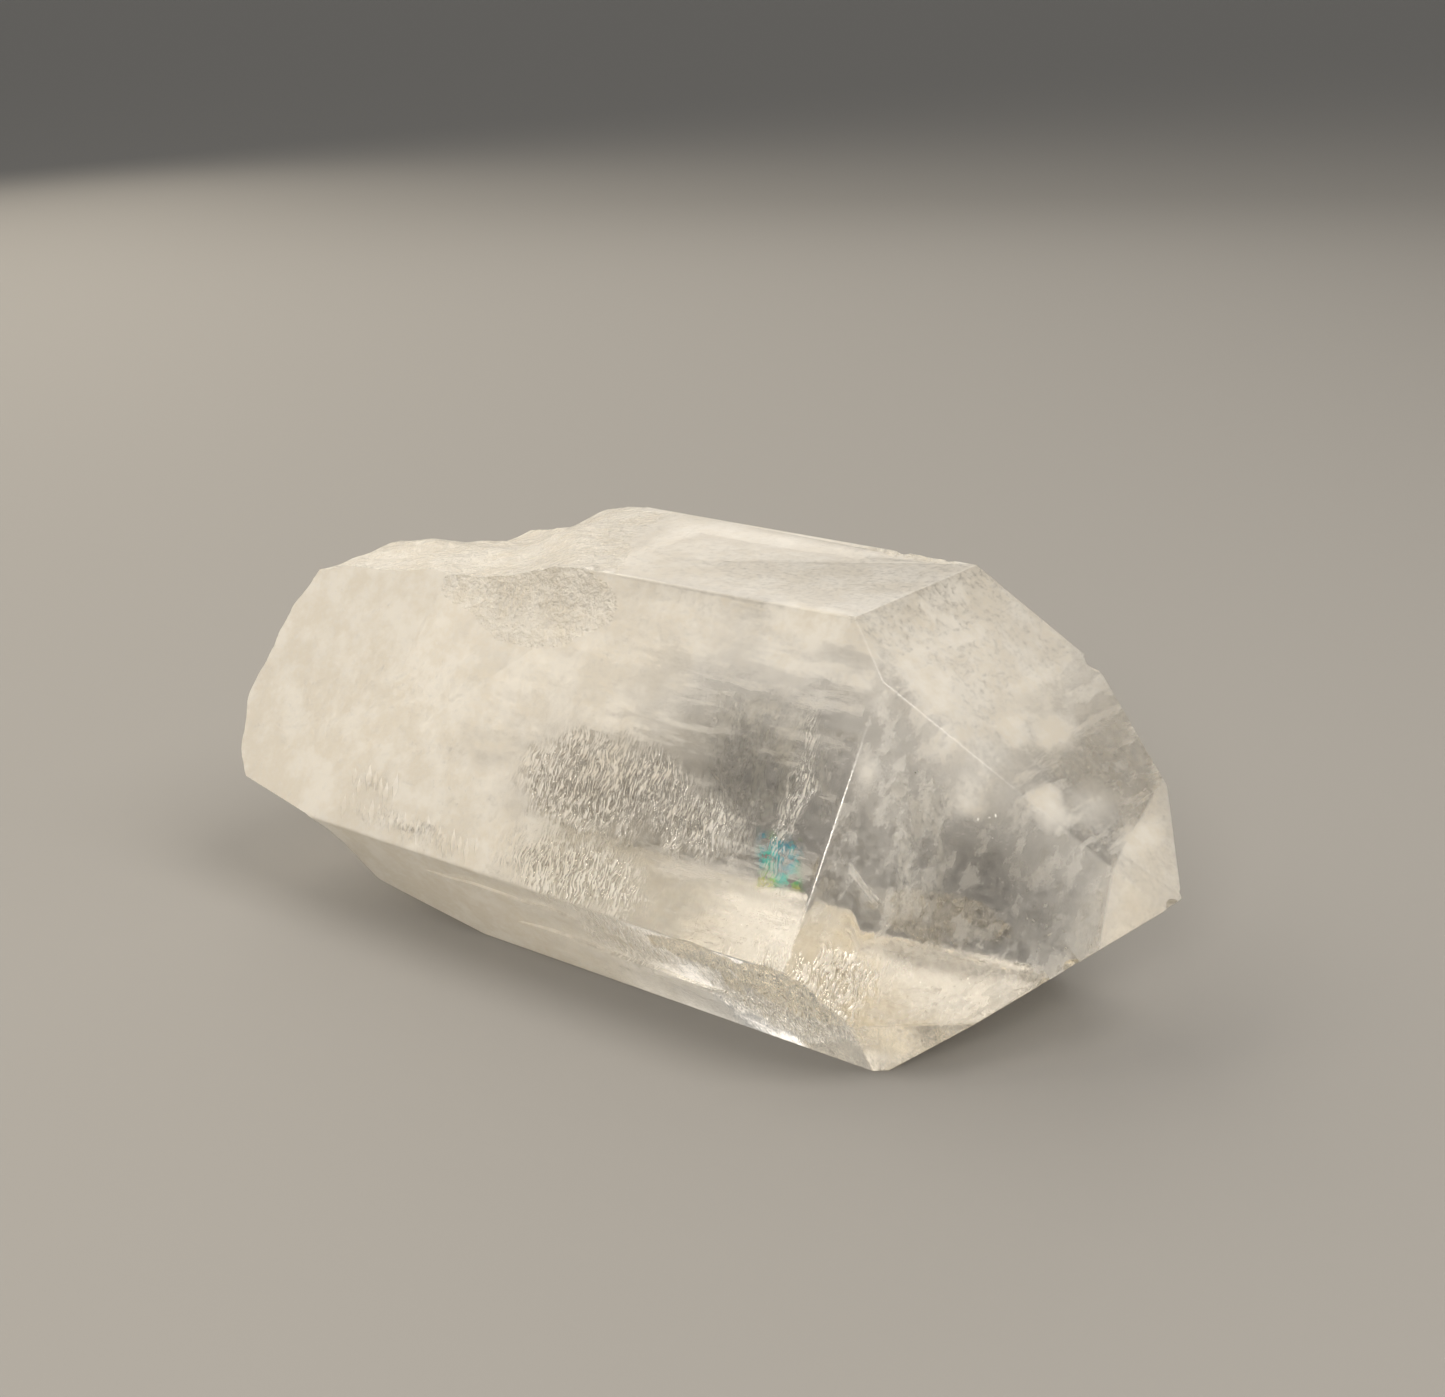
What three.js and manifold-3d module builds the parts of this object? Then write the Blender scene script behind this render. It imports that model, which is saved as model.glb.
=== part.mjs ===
// A quartz crystal point, lying on one of its long faces.
//
// Millimetres. While it is being shaped, the crystal's growth axis is the X axis, its point faces +X and
// its broken root faces -X. The shoulder, where the long faces give way to the faces of the point, is
// near x = 0. At the end the crystal is set down: +Z up, resting on z = 0, centred on X and Y.
//
// The crystal is cut as a real one looks: first all its flat faces, as growth left them, and then the
// damage and the growth marks, each taken out of the solid by a cutter of its own.

import * as THREE from 'three';
import { ConvexGeometry } from 'three/addons/geometries/ConvexGeometry.js';
import { mergeVertices } from 'three/addons/utils/BufferGeometryUtils.js';
import loadManifold from 'manifold-3d';

// ---- Driving dimensions ----------------------------------------------------------------------------

// Each flat face of the crystal:
//   around  degrees round the axis from straight up, turning towards the front (-Y)
//   lean    degrees between the face's outward direction and the axis (90 lies along the axis;
//           an undistorted quartz point has 51.8)
//   reach   how far the face lies from the axis point at the shoulder
const LONG_FACES = {
  top: { around: 1.3, lean: 90.8, reach: 21.3 },
  front: { around: 58.5, lean: 89.9, reach: 16.5 },
  lower: { around: 120, lean: 90.1, reach: 26.6 },
  bottom: { around: 180, lean: 90, reach: 21.2 },
  lowBack: { around: 240, lean: 91.5, reach: 19.8 },
  upBack: { around: 298.9, lean: 88.7, reach: 24.1 },
};
const POINT_FACES = {
  top: { around: 2.3, lean: 48.5, reach: 12.45 },
  front: { around: 59.4, lean: 49.9, reach: 12.5 },
  lower: { around: 120, lean: 51.6, reach: 24.2 },
  bottom: { around: 180, lean: 51.7, reach: 20.7 },
  lowBack: { around: 240.5, lean: 52.1, reach: 22.4 },
  upBack: { around: 299.9, lean: 51.6, reach: 23.2 },
};
const ROUGH_ROOT_X = -92; // where the uncut solid ends, beyond the break

// The broken root end, as a profile from the resting face up: how far out the stone still reaches at
// each height, along the front and along the back. Low down it is undercut.
const ROOT_PROFILE = [
  { z: -21.3, front: -47.0, back: -66.0 },
  { z: -20.0, front: -52.3, back: -68.5 },
  { z: -18.6, front: -57.8, back: -70.0 },
  { z: -17.3, front: -62.8, back: -71.5 },
  { z: -13.7, front: -64.4, back: -75.0 },
  { z: -10.6, front: -66.6, back: -77.5 },
  { z: -9.2, front: -69.5, back: -78.5 },
  { z: -7.4, front: -81.4, back: -79.5 },
  { z: -5.6, front: -83.0, back: -80.5 },
  { z: -3.0, front: -83.8, back: -81.5 },
  { z: 0.8, front: -85.2, back: -82.0 },
  { z: 6.1, front: -84.1, back: -81.0 },
  { z: 10.7, front: -84.8, back: -79.0 },
  { z: 15.6, front: -82.0, back: -76.0 },
  { z: 22.0, front: -76.0, back: -72.0 },
];
const ROOT_FRONT_Y = -22; // where the front profile gives way to the back one
const ROOT_BACK_Y = 24;
const ROOT_SCOOPS = [
  { y: -4, z: 8, radius: 11, depth: 2.0 },
  { y: 12, z: -4, radius: 15, depth: 3.4 },
  { y: 6, z: 16, radius: 8, depth: 1.6 },
  { y: 20, z: 8, radius: 8, depth: 1.8 },
  { y: -2, z: -11, radius: 8, depth: 1.6 },
];
const ROOT_ROUGHNESS = { height: 0.8, size: 9 };
const ROOT_BREAK_GRID = { cells: 34, reachY: 36, reachZ: 24 };

// The break that slopes down over the top of the root. It starts at a crooked line across the top face.
const SLOPE_START = [
  { y: -8, x: -36.0 },
  { y: -3, x: -38.8 },
  { y: 1.5, x: -41.8 },
  { y: 6, x: -45.4 },
  { y: 13.5, x: -47.2 },
  { y: 20, x: -48.5 },
];
// How far it lies below the top face at each distance past that line, along the front and along the back.
// Just before the line it stands clear of the face.
const SLOPE_PROFILE = [
  { past: -3, front: -0.4, back: -0.4 },
  { past: 0, front: 0.02, back: 0.02 },
  { past: 4, front: 0.15, back: 0.15 },
  { past: 8, front: 0.5, back: 0.6 },
  { past: 12, front: 1.15, back: 1.6 },
  { past: 14, front: 1.5, back: 2.6 },
  { past: 16, front: 1.8, back: 3.8 },
  { past: 18, front: 2.05, back: 4.8 },
  { past: 20, front: 2.3, back: 5.4 },
  { past: 24, front: 2.6, back: 6.6 },
  { past: 30, front: 2.9, back: 7.8 },
  { past: 38, front: 3.55, back: 8.8 },
  { past: 46, front: 4.9, back: 11.5 },
];
const SLOPE_FRONT_Y = -1; // where the front profile gives way to the back one
const SLOPE_BACK_Y = 16;
const SLOPE_SCOOPS = [
  { x: -57, y: -4, radius: 9, depth: 0.8 },
  { x: -70, y: -6, radius: 7, depth: 0.5 },
  { x: -63, y: 6, radius: 6, depth: 0.5 },
];
const SLOPE_ROUGHNESS = { height: 0.4, size: 6 };
const SLOPE_SMOOTH = 4; // mm past the start line before the scoops and the roughness come in
const TOP_BREAK_GRID = { columns: 28, rows: 26, fromY: -22, toY: 30 };

// Shallow hollows in the flat faces. A place on a face is given along the crystal (x) and across the face
// (w, towards the face that comes before it as seen from the point), from the face's middle.
const DENTS = [
  { on: 'front', x: -49, w: 9.8, alongRadius: 15.5, acrossRadius: 5.8, depth: 0.8, rough: 0.14, cells: 18 },
  { on: 'lower', x: -1, w: 1.2, alongRadius: 9, acrossRadius: 4.6, depth: 0.35, rough: 0.22, cells: 20 },
  { on: 'lower', x: -13, w: 2.6, alongRadius: 6, acrossRadius: 2.4, depth: 0.3, rough: 0.14, cells: 12 },
  { on: 'top', x: -12, w: 15.6, alongRadius: 7, acrossRadius: 1.5, depth: 0.5, rough: 0.16, cells: 12 },
  { on: 'upBack', x: -58, w: 2, alongRadius: 13, acrossRadius: 7, depth: 1.1, rough: 0.2, cells: 12 },
  { on: 'lowBack', x: -50, w: -9, alongRadius: 15, acrossRadius: 6, depth: 1.2, rough: 0.2, cells: 12 },
  { on: 'lowBack', x: -8, w: 10.5, alongRadius: 9, acrossRadius: 3, depth: 0.5, rough: 0.15, cells: 10 },
];

const DENT_RIM = 1.35; // a dent's depth is gone at 1 / sqrt(this) of its radius
const DENT_WARP = { share: 0.45, along: 2.1, across: 1.7 }; // how unevenly, and how often round the rim
const DENT_GRAINS = 5; // swells of its rough floor in its longer radius

// Growth steps: long, very thin wedges off a face, with a crooked low wall where each ends.
const LEDGES = [
  { on: 'lower', from: -40, to: -10, foot: -3.6, width: 5.5, height: 0.5 },
  { on: 'lower', from: -52, to: -29, foot: 1.2, width: 3.4, height: 0.35 },
  { on: 'upBack', from: -46, to: -6, foot: -4.5, width: 6, height: 0.45 },
  { on: 'upBack', from: -30, to: 2, foot: 3.5, width: 4.5, height: 0.3 },
  { on: 'lowBack', from: -48, to: 6, foot: 2.5, width: 6.5, height: 0.5 },
  { on: 'top', from: -40, to: -16, foot: 11.5, width: 3.2, height: 0.25 },
];

const LEDGE_GRID = { along: 14, across: 3 };
const LEDGE_WANDER = { size: 0.5, swells: 6 }; // how far, and how often, its foot strays from straight
const LEDGE_ENDS = 0.4; // how bluntly it comes to full depth from its ends: 0 is at once
const LEDGE_LIFT = 0.03; // how far the cutter's thin side stands off the face

// Short raised ridges that cross the bottom of the front face near the root, left by growth.
const RIDGES = { count: 18, from: -64, to: -36, w: -18.9, length: 4.6, width: 0.9, height: 0.22 };
const RIDGE_SPREAD = { along: 0.3, across: 0.9, turn: 0.18, size: 0.35, smallest: 0.75 };

// Nicks along the edges and at the corners, each a small round flake: where it was struck, and its size.
const NICKS = [
  { at: [-5.6, -6.8, 21.6], size: 0.9 }, // the corner of the top and front faces at the shoulder
  { at: [7.4, 21.2, 11.6], size: 1.6 }, // the back corner of the point's top face
  { at: [9.4, 21.6, 9.6], size: 1.1 },
  { at: [1.6, 18.4, 16.9], size: 0.7 },
  { at: [26.6, 4.2, -6.4], size: 1.5 }, // the tip
  { at: [25.9, 6.9, -5.6], size: 0.7 },
  { at: [20.4, -5.6, -10.6], size: 1.0 }, // the underside edge of the point
  { at: [18.6, -7.8, -12.0], size: 0.7 },
  { at: [-8.2, 16.2, 21.9], size: 0.9 }, // the back edge of the top face
  { at: [-14.5, 16.4, 22.0], size: 1.1 },
  { at: [-22.0, 16.6, 22.0], size: 0.7 },
  { at: [-24.5, -7.2, 21.6], size: 0.5 }, // the front edge of the top face
  { at: [-11.5, -7.0, 21.7], size: 0.45 },
  { at: [-44.0, -26.6, -9.3], size: 1.0 }, // the front edge above the lower face
  { at: [-49.5, -26.7, -9.4], size: 1.4 },
  { at: [-57.0, -26.7, -9.2], size: 1.1 },
  { at: [-33.0, -26.4, -9.5], size: 0.8 },
  { at: [-22.0, -26.2, -9.6], size: 0.7 },
  { at: [5.7, -22.8, -14.9], size: 0.8 }, // the crook of the lower face and the point
  { at: [2.8, -24.2, -12.5], size: 0.6 },
  { at: [-30.0, 25.2, 4.6], size: 1.2 }, // the widest edge, at the back
  { at: [-3.0, 25.2, 4.2], size: 0.9 },
  { at: [-40.0, 10.4, -21.6], size: 1.3 }, // the back edge of the resting face
  { at: [-12.0, 11.3, -21.6], size: 0.8 },
];

const FLAKE = { stretch: [1.25, 1, 0.9], turnX: 1.3, turnY: 0.7 }; // turns in radians, for each next one

// Broken stone: this many sets of swells, each so many times finer and flatter than the one before.
const OCTAVES = 3;
const FINER = 2.1;
// Which of the random patterns each kind of damage takes.
const SEEDS = { rootBreak: 11, topBreak: 26, dents: 60, ledges: 80, ridges: 41, ridgeSizes: 43, nicks: 1 };
// How far a cutter reaches out of the stone, and how far a dent's rim stands off its face.
const BREAK_REACH = 60;
const FACE_REACH = 3;
const CLEAR_OF_FACE = 0.4;

// ---- Solids ----------------------------------------------------------------------------------------

const manifold = await loadManifold();
manifold.setup();

// A closed three.js geometry as a solid that can be joined and cut.
function solidOf(geometry) {
  const bare = new THREE.BufferGeometry();
  bare.setAttribute('position', geometry.getAttribute('position'));
  if (geometry.index) bare.setIndex(geometry.index);
  const welded = mergeVertices(bare, 1e-4);
  return new manifold.Manifold(
    new manifold.Mesh({
      numProp: 3,
      vertProperties: new Float32Array(welded.getAttribute('position').array),
      triVerts: new Uint32Array(welded.index.array),
    }),
  );
}

// A solid back as a three.js geometry.
function geometryOf(solid) {
  const mesh = solid.getMesh();
  const geometry = new THREE.BufferGeometry();
  geometry.setAttribute('position', new THREE.BufferAttribute(new Float32Array(mesh.vertProperties), 3));
  geometry.setIndex(new THREE.BufferAttribute(new Uint32Array(mesh.triVerts), 1));
  return geometry;
}

// ---- Growth faces ----------------------------------------------------------------------------------

// The outward direction of a face, from its angles.
function outward({ around, lean }) {
  const turn = THREE.MathUtils.degToRad(around);
  const tilt = THREE.MathUtils.degToRad(lean);
  return new THREE.Vector3(
    Math.cos(tilt),
    -Math.sin(tilt) * Math.sin(turn),
    Math.sin(tilt) * Math.cos(turn),
  );
}

// Where three planes meet, or null if two of them are parallel.
function corner(a, b, c) {
  const bc = new THREE.Vector3().crossVectors(b.normal, c.normal);
  const ca = new THREE.Vector3().crossVectors(c.normal, a.normal);
  const ab = new THREE.Vector3().crossVectors(a.normal, b.normal);
  const spread = a.normal.dot(bc);
  if (Math.abs(spread) < 1e-6) return null;
  return bc
    .multiplyScalar(a.reach)
    .addScaledVector(ca, b.reach)
    .addScaledVector(ab, c.reach)
    .divideScalar(spread);
}

// The convex solid inside a set of planes.
function solidInside(planes) {
  const corners = [];
  for (let i = 0; i < planes.length; i++) {
    for (let j = i + 1; j < planes.length; j++) {
      for (let k = j + 1; k < planes.length; k++) {
        const p = corner(planes[i], planes[j], planes[k]);
        if (p && planes.every(({ normal, reach }) => normal.dot(p) < reach + 1e-6)) corners.push(p);
      }
    }
  }
  return solidOf(new ConvexGeometry(corners));
}

function growthForm() {
  const planes = [...Object.values(LONG_FACES), ...Object.values(POINT_FACES)].map((face) => ({
    normal: outward(face),
    reach: face.reach,
  }));
  planes.push({ normal: new THREE.Vector3(-1, 0, 0), reach: -ROUGH_ROOT_X });
  return solidInside(planes);
}

// ---- Broken stone ----------------------------------------------------------------------------------

// A repeatable value from -1 to 1 for each whole-number point of a grid.
function gridValue(i, j, seed) {
  let h = Math.imul(i, 374761393) + Math.imul(j, 668265263) + Math.imul(seed, 974634777);
  h = Math.imul(h ^ (h >>> 13), 1274126177);
  return (((h ^ (h >>> 16)) >>> 0) / 4294967295) * 2 - 1;
}

// Smooth random ups and downs, from -1 to 1, a unit apart.
function swell(u, v, seed) {
  const i = Math.floor(u);
  const j = Math.floor(v);
  const fu = THREE.MathUtils.smoothstep(u - i, 0, 1);
  const fv = THREE.MathUtils.smoothstep(v - j, 0, 1);
  const near = THREE.MathUtils.lerp(gridValue(i, j, seed), gridValue(i + 1, j, seed), fu);
  const far = THREE.MathUtils.lerp(gridValue(i, j + 1, seed), gridValue(i + 1, j + 1, seed), fu);
  return THREE.MathUtils.lerp(near, far, fv);
}

// Rough broken stone: swells of the given height and size, with finer and flatter sets on top.
function roughness(u, v, { height, size }, seed) {
  let sum = 0;
  for (let octave = 0; octave < OCTAVES; octave++) {
    const finer = FINER ** octave;
    sum += (swell((u * finer) / size, (v * finer) / size, seed + octave) * height) / finer;
  }
  return sum;
}

// How deep the shell-shaped scoops of a quartz break go at a place. Where two meet there is a crisp rim.
function scooped(distanceTo, scoops) {
  return Math.max(0, ...scoops.map((scoop) => scoop.depth * (1 - (distanceTo(scoop) / scoop.radius) ** 2)));
}

// A value between the rows of a table, by the number in the given column.
function between(rows, column, at, wanted) {
  const last = rows.length - 1;
  let i = 0;
  while (i < last - 1 && rows[i + 1][column] < at) i++;
  const t = THREE.MathUtils.clamp((at - rows[i][column]) / (rows[i + 1][column] - rows[i][column]), 0, 1);
  return THREE.MathUtils.lerp(rows[i][wanted], rows[i + 1][wanted], t);
}

// A closed cutter: a surface given as a grid of points, and the same grid moved by `away`. The grid's
// columns, rows and `away` are a right-handed set, so that the cutter's faces point outwards.
function cutter(columns, rows, pointAt, away) {
  const positions = [];
  const index = [];
  const perSheet = (columns + 1) * (rows + 1);
  for (let sheet = 0; sheet < 2; sheet++) {
    for (let r = 0; r <= rows; r++) {
      for (let c = 0; c <= columns; c++) {
        const p = pointAt(c / columns, r / rows);
        if (sheet) p.add(away);
        positions.push(p.x, p.y, p.z);
      }
    }
  }
  const at = (sheet, c, r) => sheet * perSheet + r * (columns + 1) + c;
  const quad = (a, b, c, d) => index.push(a, c, b, a, d, c);
  for (let r = 0; r < rows; r++) {
    for (let c = 0; c < columns; c++) {
      quad(at(0, c, r), at(0, c + 1, r), at(0, c + 1, r + 1), at(0, c, r + 1));
      quad(at(1, c, r), at(1, c, r + 1), at(1, c + 1, r + 1), at(1, c + 1, r));
    }
  }
  for (let c = 0; c < columns; c++) {
    quad(at(1, c, 0), at(1, c + 1, 0), at(0, c + 1, 0), at(0, c, 0));
    quad(at(0, c, rows), at(0, c + 1, rows), at(1, c + 1, rows), at(1, c, rows));
  }
  for (let r = 0; r < rows; r++) {
    quad(at(0, 0, r), at(0, 0, r + 1), at(1, 0, r + 1), at(1, 0, r));
    quad(at(1, columns, r), at(1, columns, r + 1), at(0, columns, r + 1), at(0, columns, r));
  }
  const geometry = new THREE.BufferGeometry();
  geometry.setAttribute('position', new THREE.Float32BufferAttribute(positions, 3));
  geometry.setIndex(index);
  return solidOf(geometry);
}

// What the break took off the root end.
function rootBreak() {
  const { cells, reachY, reachZ } = ROOT_BREAK_GRID;
  const { lerp, smoothstep } = THREE.MathUtils;
  return cutter(
    cells,
    cells,
    (u, v) => {
      const y = lerp(reachY, -reachY, u);
      const z = lerp(-reachZ, reachZ, v);
      const front = between(ROOT_PROFILE, 'z', z, 'front');
      const back = between(ROOT_PROFILE, 'z', z, 'back');
      const scoop = scooped((s) => Math.hypot(y - s.y, z - s.z), ROOT_SCOOPS);
      const rough = roughness(y, z, ROOT_ROUGHNESS, SEEDS.rootBreak);
      const x = lerp(front, back, smoothstep(y, ROOT_FRONT_Y, ROOT_BACK_Y)) + scoop + rough;
      return new THREE.Vector3(x, y, z);
    },
    new THREE.Vector3(-BREAK_REACH, 0, 0),
  );
}

// What the break took off the top of the root. The grid's last column but one lies on the start line.
function topBreak() {
  const { columns, rows, fromY, toY } = TOP_BREAK_GRID;
  const { lerp, smoothstep } = THREE.MathUtils;
  const out = outward(LONG_FACES.top);
  return cutter(
    columns,
    rows,
    (u, v) => {
      const y = lerp(fromY, toY, v);
      const start = between(SLOPE_START, 'y', y, 'x');
      const past = (start - ROUGH_ROOT_X) * (1 - (u * columns) / (columns - 1));
      const x = start - past;
      const face = (LONG_FACES.top.reach - out.x * x - out.y * y) / out.z;
      const front = between(SLOPE_PROFILE, 'past', past, 'front');
      const back = between(SLOPE_PROFILE, 'past', past, 'back');
      const drop = lerp(front, back, smoothstep(y, SLOPE_FRONT_Y, SLOPE_BACK_Y));
      const scoop = scooped((s) => Math.hypot(x - s.x, y - s.y), SLOPE_SCOOPS);
      const rough = roughness(x, y, SLOPE_ROUGHNESS, SEEDS.topBreak);
      const ruffled = 1 - Math.exp(-Math.max(0, past) / SLOPE_SMOOTH);
      return new THREE.Vector3(x, y, face - drop - (scoop + rough) * ruffled);
    },
    new THREE.Vector3(0, 0, BREAK_REACH),
  );
}

// A flat face's own directions: its middle, along the crystal, across the face, and out of it.
function faceFrame(name) {
  const out = outward(LONG_FACES[name]);
  const along = new THREE.Vector3(1, 0, 0).addScaledVector(out, -out.x).normalize();
  const across = new THREE.Vector3().crossVectors(out, along);
  const middle = out.clone().multiplyScalar(LONG_FACES[name].reach);
  return {
    out,
    place: (x, w, height) =>
      middle.clone().addScaledVector(along, x).addScaledVector(across, w).addScaledVector(out, height),
  };
}

// A shallow hollow with a rough floor.
function dent({ on, x, w, alongRadius, acrossRadius, depth, rough, cells }, seed) {
  const { out, place } = faceFrame(on);
  const grain = { height: rough, size: Math.max(alongRadius, acrossRadius) / DENT_GRAINS };
  const rows = Math.ceil((cells * acrossRadius) / alongRadius);
  return cutter(
    cells,
    Math.max(rows, cells / 2),
    (u, v) => {
      const a = 2 * u - 1;
      const b = 2 * v - 1;
      const warp = DENT_WARP.share * swell(a * DENT_WARP.along, b * DENT_WARP.across, seed);
      const bowl = depth * (1 - (a * a + b * b) * (DENT_RIM + warp));
      const ripple = roughness(a * alongRadius, b * acrossRadius, grain, seed + 1);
      return place(x + a * alongRadius, w + b * acrossRadius, Math.min(CLEAR_OF_FACE, -bowl - ripple));
    },
    out.clone().multiplyScalar(FACE_REACH),
  );
}

// A thin wedge off a face: full depth at its foot, running out to nothing across its width.
function ledge({ on, from, to, foot, width, height }, seed) {
  const { out, place } = faceFrame(on);
  return cutter(
    LEDGE_GRID.along,
    LEDGE_GRID.across,
    (u, v) => {
      const wander = LEDGE_WANDER.size * swell(u * LEDGE_WANDER.swells, 0, seed) * (1 - v);
      const bite = Math.sin(Math.PI * u) ** LEDGE_ENDS;
      const depth = height * (1 - v) * bite - LEDGE_LIFT * v;
      return place(THREE.MathUtils.lerp(from, to, u), foot + wander + v * width, -depth);
    },
    out.clone().multiplyScalar(FACE_REACH),
  );
}

// Low ridges across a face, each a long flat diamond sunk in to its waist.
function ridges({ count, from, to, w, length, width, height }) {
  const { place, out } = faceFrame('front');
  const lie = new THREE.Quaternion().setFromUnitVectors(new THREE.Vector3(0, 0, 1), out);
  return Array.from({ length: count }, (_, i) => {
    const stray = gridValue(i, 0, SEEDS.ridges);
    const size = RIDGE_SPREAD.smallest + RIDGE_SPREAD.size * Math.abs(gridValue(i, 0, SEEDS.ridgeSizes));
    const ridge = new THREE.OctahedronGeometry(1);
    ridge.scale((width / 2) * size, (length / 2) * size, height * size);
    ridge.rotateZ(RIDGE_SPREAD.turn * stray);
    ridge.applyQuaternion(lie);
    const step = (i + RIDGE_SPREAD.along * stray) / (count - 1);
    const p = place(THREE.MathUtils.lerp(from, to, step), w + RIDGE_SPREAD.across * stray, 0);
    ridge.translate(p.x, p.y, p.z);
    return solidOf(ridge);
  });
}

// A small round flake knocked off an edge or a corner.
function nick({ at, size }, turns) {
  const flake = new THREE.IcosahedronGeometry(size, 1);
  flake.rotateX(turns * FLAKE.turnX);
  flake.rotateY(turns * FLAKE.turnY);
  flake.scale(...FLAKE.stretch);
  flake.translate(...at);
  return solidOf(flake);
}

// ---- The crystal -----------------------------------------------------------------------------------

const damage = [
  rootBreak(),
  topBreak(),
  ...DENTS.map((spec, i) => dent(spec, SEEDS.dents + i)),
  ...LEDGES.map((spec, i) => ledge(spec, SEEDS.ledges + i)),
  ...NICKS.map((spec, i) => nick(spec, SEEDS.nicks + i)),
];
let shaped = growthForm();
for (const ridge of ridges(RIDGES)) shaped = shaped.add(ridge);
for (const cut of damage) shaped = shaped.subtract(cut);

const SHORTEST_EDGE = 0.02; // finer slivers than this are closed up
const crystalGeometry = geometryOf(shaped.simplify(SHORTEST_EDGE));

// Set down: the lowest point at z = 0, the middle at x = y = 0.
crystalGeometry.computeBoundingBox();
const box = crystalGeometry.boundingBox;
crystalGeometry.translate(-(box.min.x + box.max.x) / 2, -(box.min.y + box.max.y) / 2, -box.min.z);

const clearQuartz = new THREE.MeshStandardMaterial({
  name: 'clear_quartz',
  color: '#ddd5c4',
  roughness: 0.12,
  metalness: 0,
  transparent: true,
  opacity: 0.6,
  flatShading: true,
});

const crystal = new THREE.Mesh(crystalGeometry, clearQuartz);
crystal.name = 'quartz_crystal';

const part = new THREE.Group();
part.add(crystal);

export default part;
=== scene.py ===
import math

import bmesh
import bpy
import numpy as np
from mathutils import Matrix, Vector


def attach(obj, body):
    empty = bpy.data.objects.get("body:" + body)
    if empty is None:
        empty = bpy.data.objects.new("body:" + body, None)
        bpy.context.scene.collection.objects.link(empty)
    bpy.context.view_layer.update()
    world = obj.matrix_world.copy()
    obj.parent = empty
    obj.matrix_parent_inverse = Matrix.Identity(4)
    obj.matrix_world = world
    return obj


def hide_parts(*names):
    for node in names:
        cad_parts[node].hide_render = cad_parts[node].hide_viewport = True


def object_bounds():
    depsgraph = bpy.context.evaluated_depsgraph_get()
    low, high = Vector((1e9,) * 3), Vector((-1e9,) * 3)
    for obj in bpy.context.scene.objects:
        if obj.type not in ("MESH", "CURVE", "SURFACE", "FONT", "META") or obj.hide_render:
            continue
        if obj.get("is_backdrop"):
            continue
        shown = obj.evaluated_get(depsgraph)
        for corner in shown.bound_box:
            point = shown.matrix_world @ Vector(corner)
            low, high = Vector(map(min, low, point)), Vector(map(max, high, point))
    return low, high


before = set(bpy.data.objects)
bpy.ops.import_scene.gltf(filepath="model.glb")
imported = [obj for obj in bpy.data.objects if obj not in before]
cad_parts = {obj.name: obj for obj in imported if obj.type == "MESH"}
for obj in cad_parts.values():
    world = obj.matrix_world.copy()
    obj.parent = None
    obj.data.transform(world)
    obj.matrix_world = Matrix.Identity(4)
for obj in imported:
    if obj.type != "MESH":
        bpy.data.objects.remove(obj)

cad_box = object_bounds()

# ---- Camera --------------------------------------------------------------------------------------
# A normal lens held close over the table, off the point's front corner. It looks a little down on the
# crystal, so that the top face, the front face and two faces of the point show.

MM = 0.001
CAMERA_AT = Vector((142.26, -175.72, 105.3)) * MM
CAMERA_YAW = -38.51  # degrees from the long axis's left, seen from above
CAMERA_DOWN = 19.1
CAMERA_ROLL = -1.06
LENS = 53.55  # mm, on a 36 mm wide sensor

yaw, down, roll = (math.radians(a) for a in (CAMERA_YAW, CAMERA_DOWN, CAMERA_ROLL))
ahead = Vector((math.sin(yaw) * math.cos(down), math.cos(yaw) * math.cos(down), -math.sin(down)))
level_right = Vector((math.cos(yaw), -math.sin(yaw), 0))
level_up = level_right.cross(ahead)
right = math.cos(roll) * level_right + math.sin(roll) * level_up
up = right.cross(ahead)

lens = bpy.data.cameras.new("camera")
lens.lens = LENS
lens.sensor_width = 36
lens.sensor_fit = "HORIZONTAL"
lens.clip_start = 0.005
camera = bpy.data.objects.new("camera", lens)
camera.matrix_world = Matrix.Translation(CAMERA_AT) @ Matrix((right, up, -ahead)).transposed().to_4x4()
bpy.context.scene.collection.objects.link(camera)
bpy.context.scene.camera = camera

# ---- Floor and light -----------------------------------------------------------------------------
# A wide sheet of pale matt paper. A very large soft box stands at the left, a smaller one hangs high at
# the right, a small one lights the front, and a low strip behind brightens the lower edges. The room
# itself gives an even glow.


def linear(hex_colour):
    """An sRGB hex colour as linear red, green, blue and a 1."""
    parts = [int(hex_colour[i : i + 2], 16) / 255 for i in (1, 3, 5)]
    return tuple(c / 12.92 if c <= 0.04045 else ((c + 0.055) / 1.055) ** 2.4 for c in parts) + (1.0,)


def add(tree, kind, inputs=None, out=0, **settings):
    """Add a node. inputs maps a socket to a value or to another node's output; returns output `out`."""
    node = tree.nodes.new(kind)
    for name, value in settings.items():
        setattr(node, name, value)
    for key, value in (inputs or {}).items():
        if isinstance(value, bpy.types.NodeSocket):
            tree.links.new(value, node.inputs[key])
        else:
            node.inputs[key].default_value = value
    return node if out is None else node.outputs[out]


def new_material(name):
    """A material with an empty node tree, and that tree."""
    material = bpy.data.materials.new(name)
    material.use_nodes = True
    material.node_tree.nodes.clear()
    return material, material.node_tree


def mesh_object(name, points_mm, faces):
    """A mesh object at the origin from points in millimetres."""
    mesh = bpy.data.meshes.new(name)
    mesh.from_pydata([tuple(c * MM for c in p) for p in points_mm], [], faces)
    piece = bpy.data.objects.new(name, mesh)
    bpy.context.scene.collection.objects.link(piece)
    return piece


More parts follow.
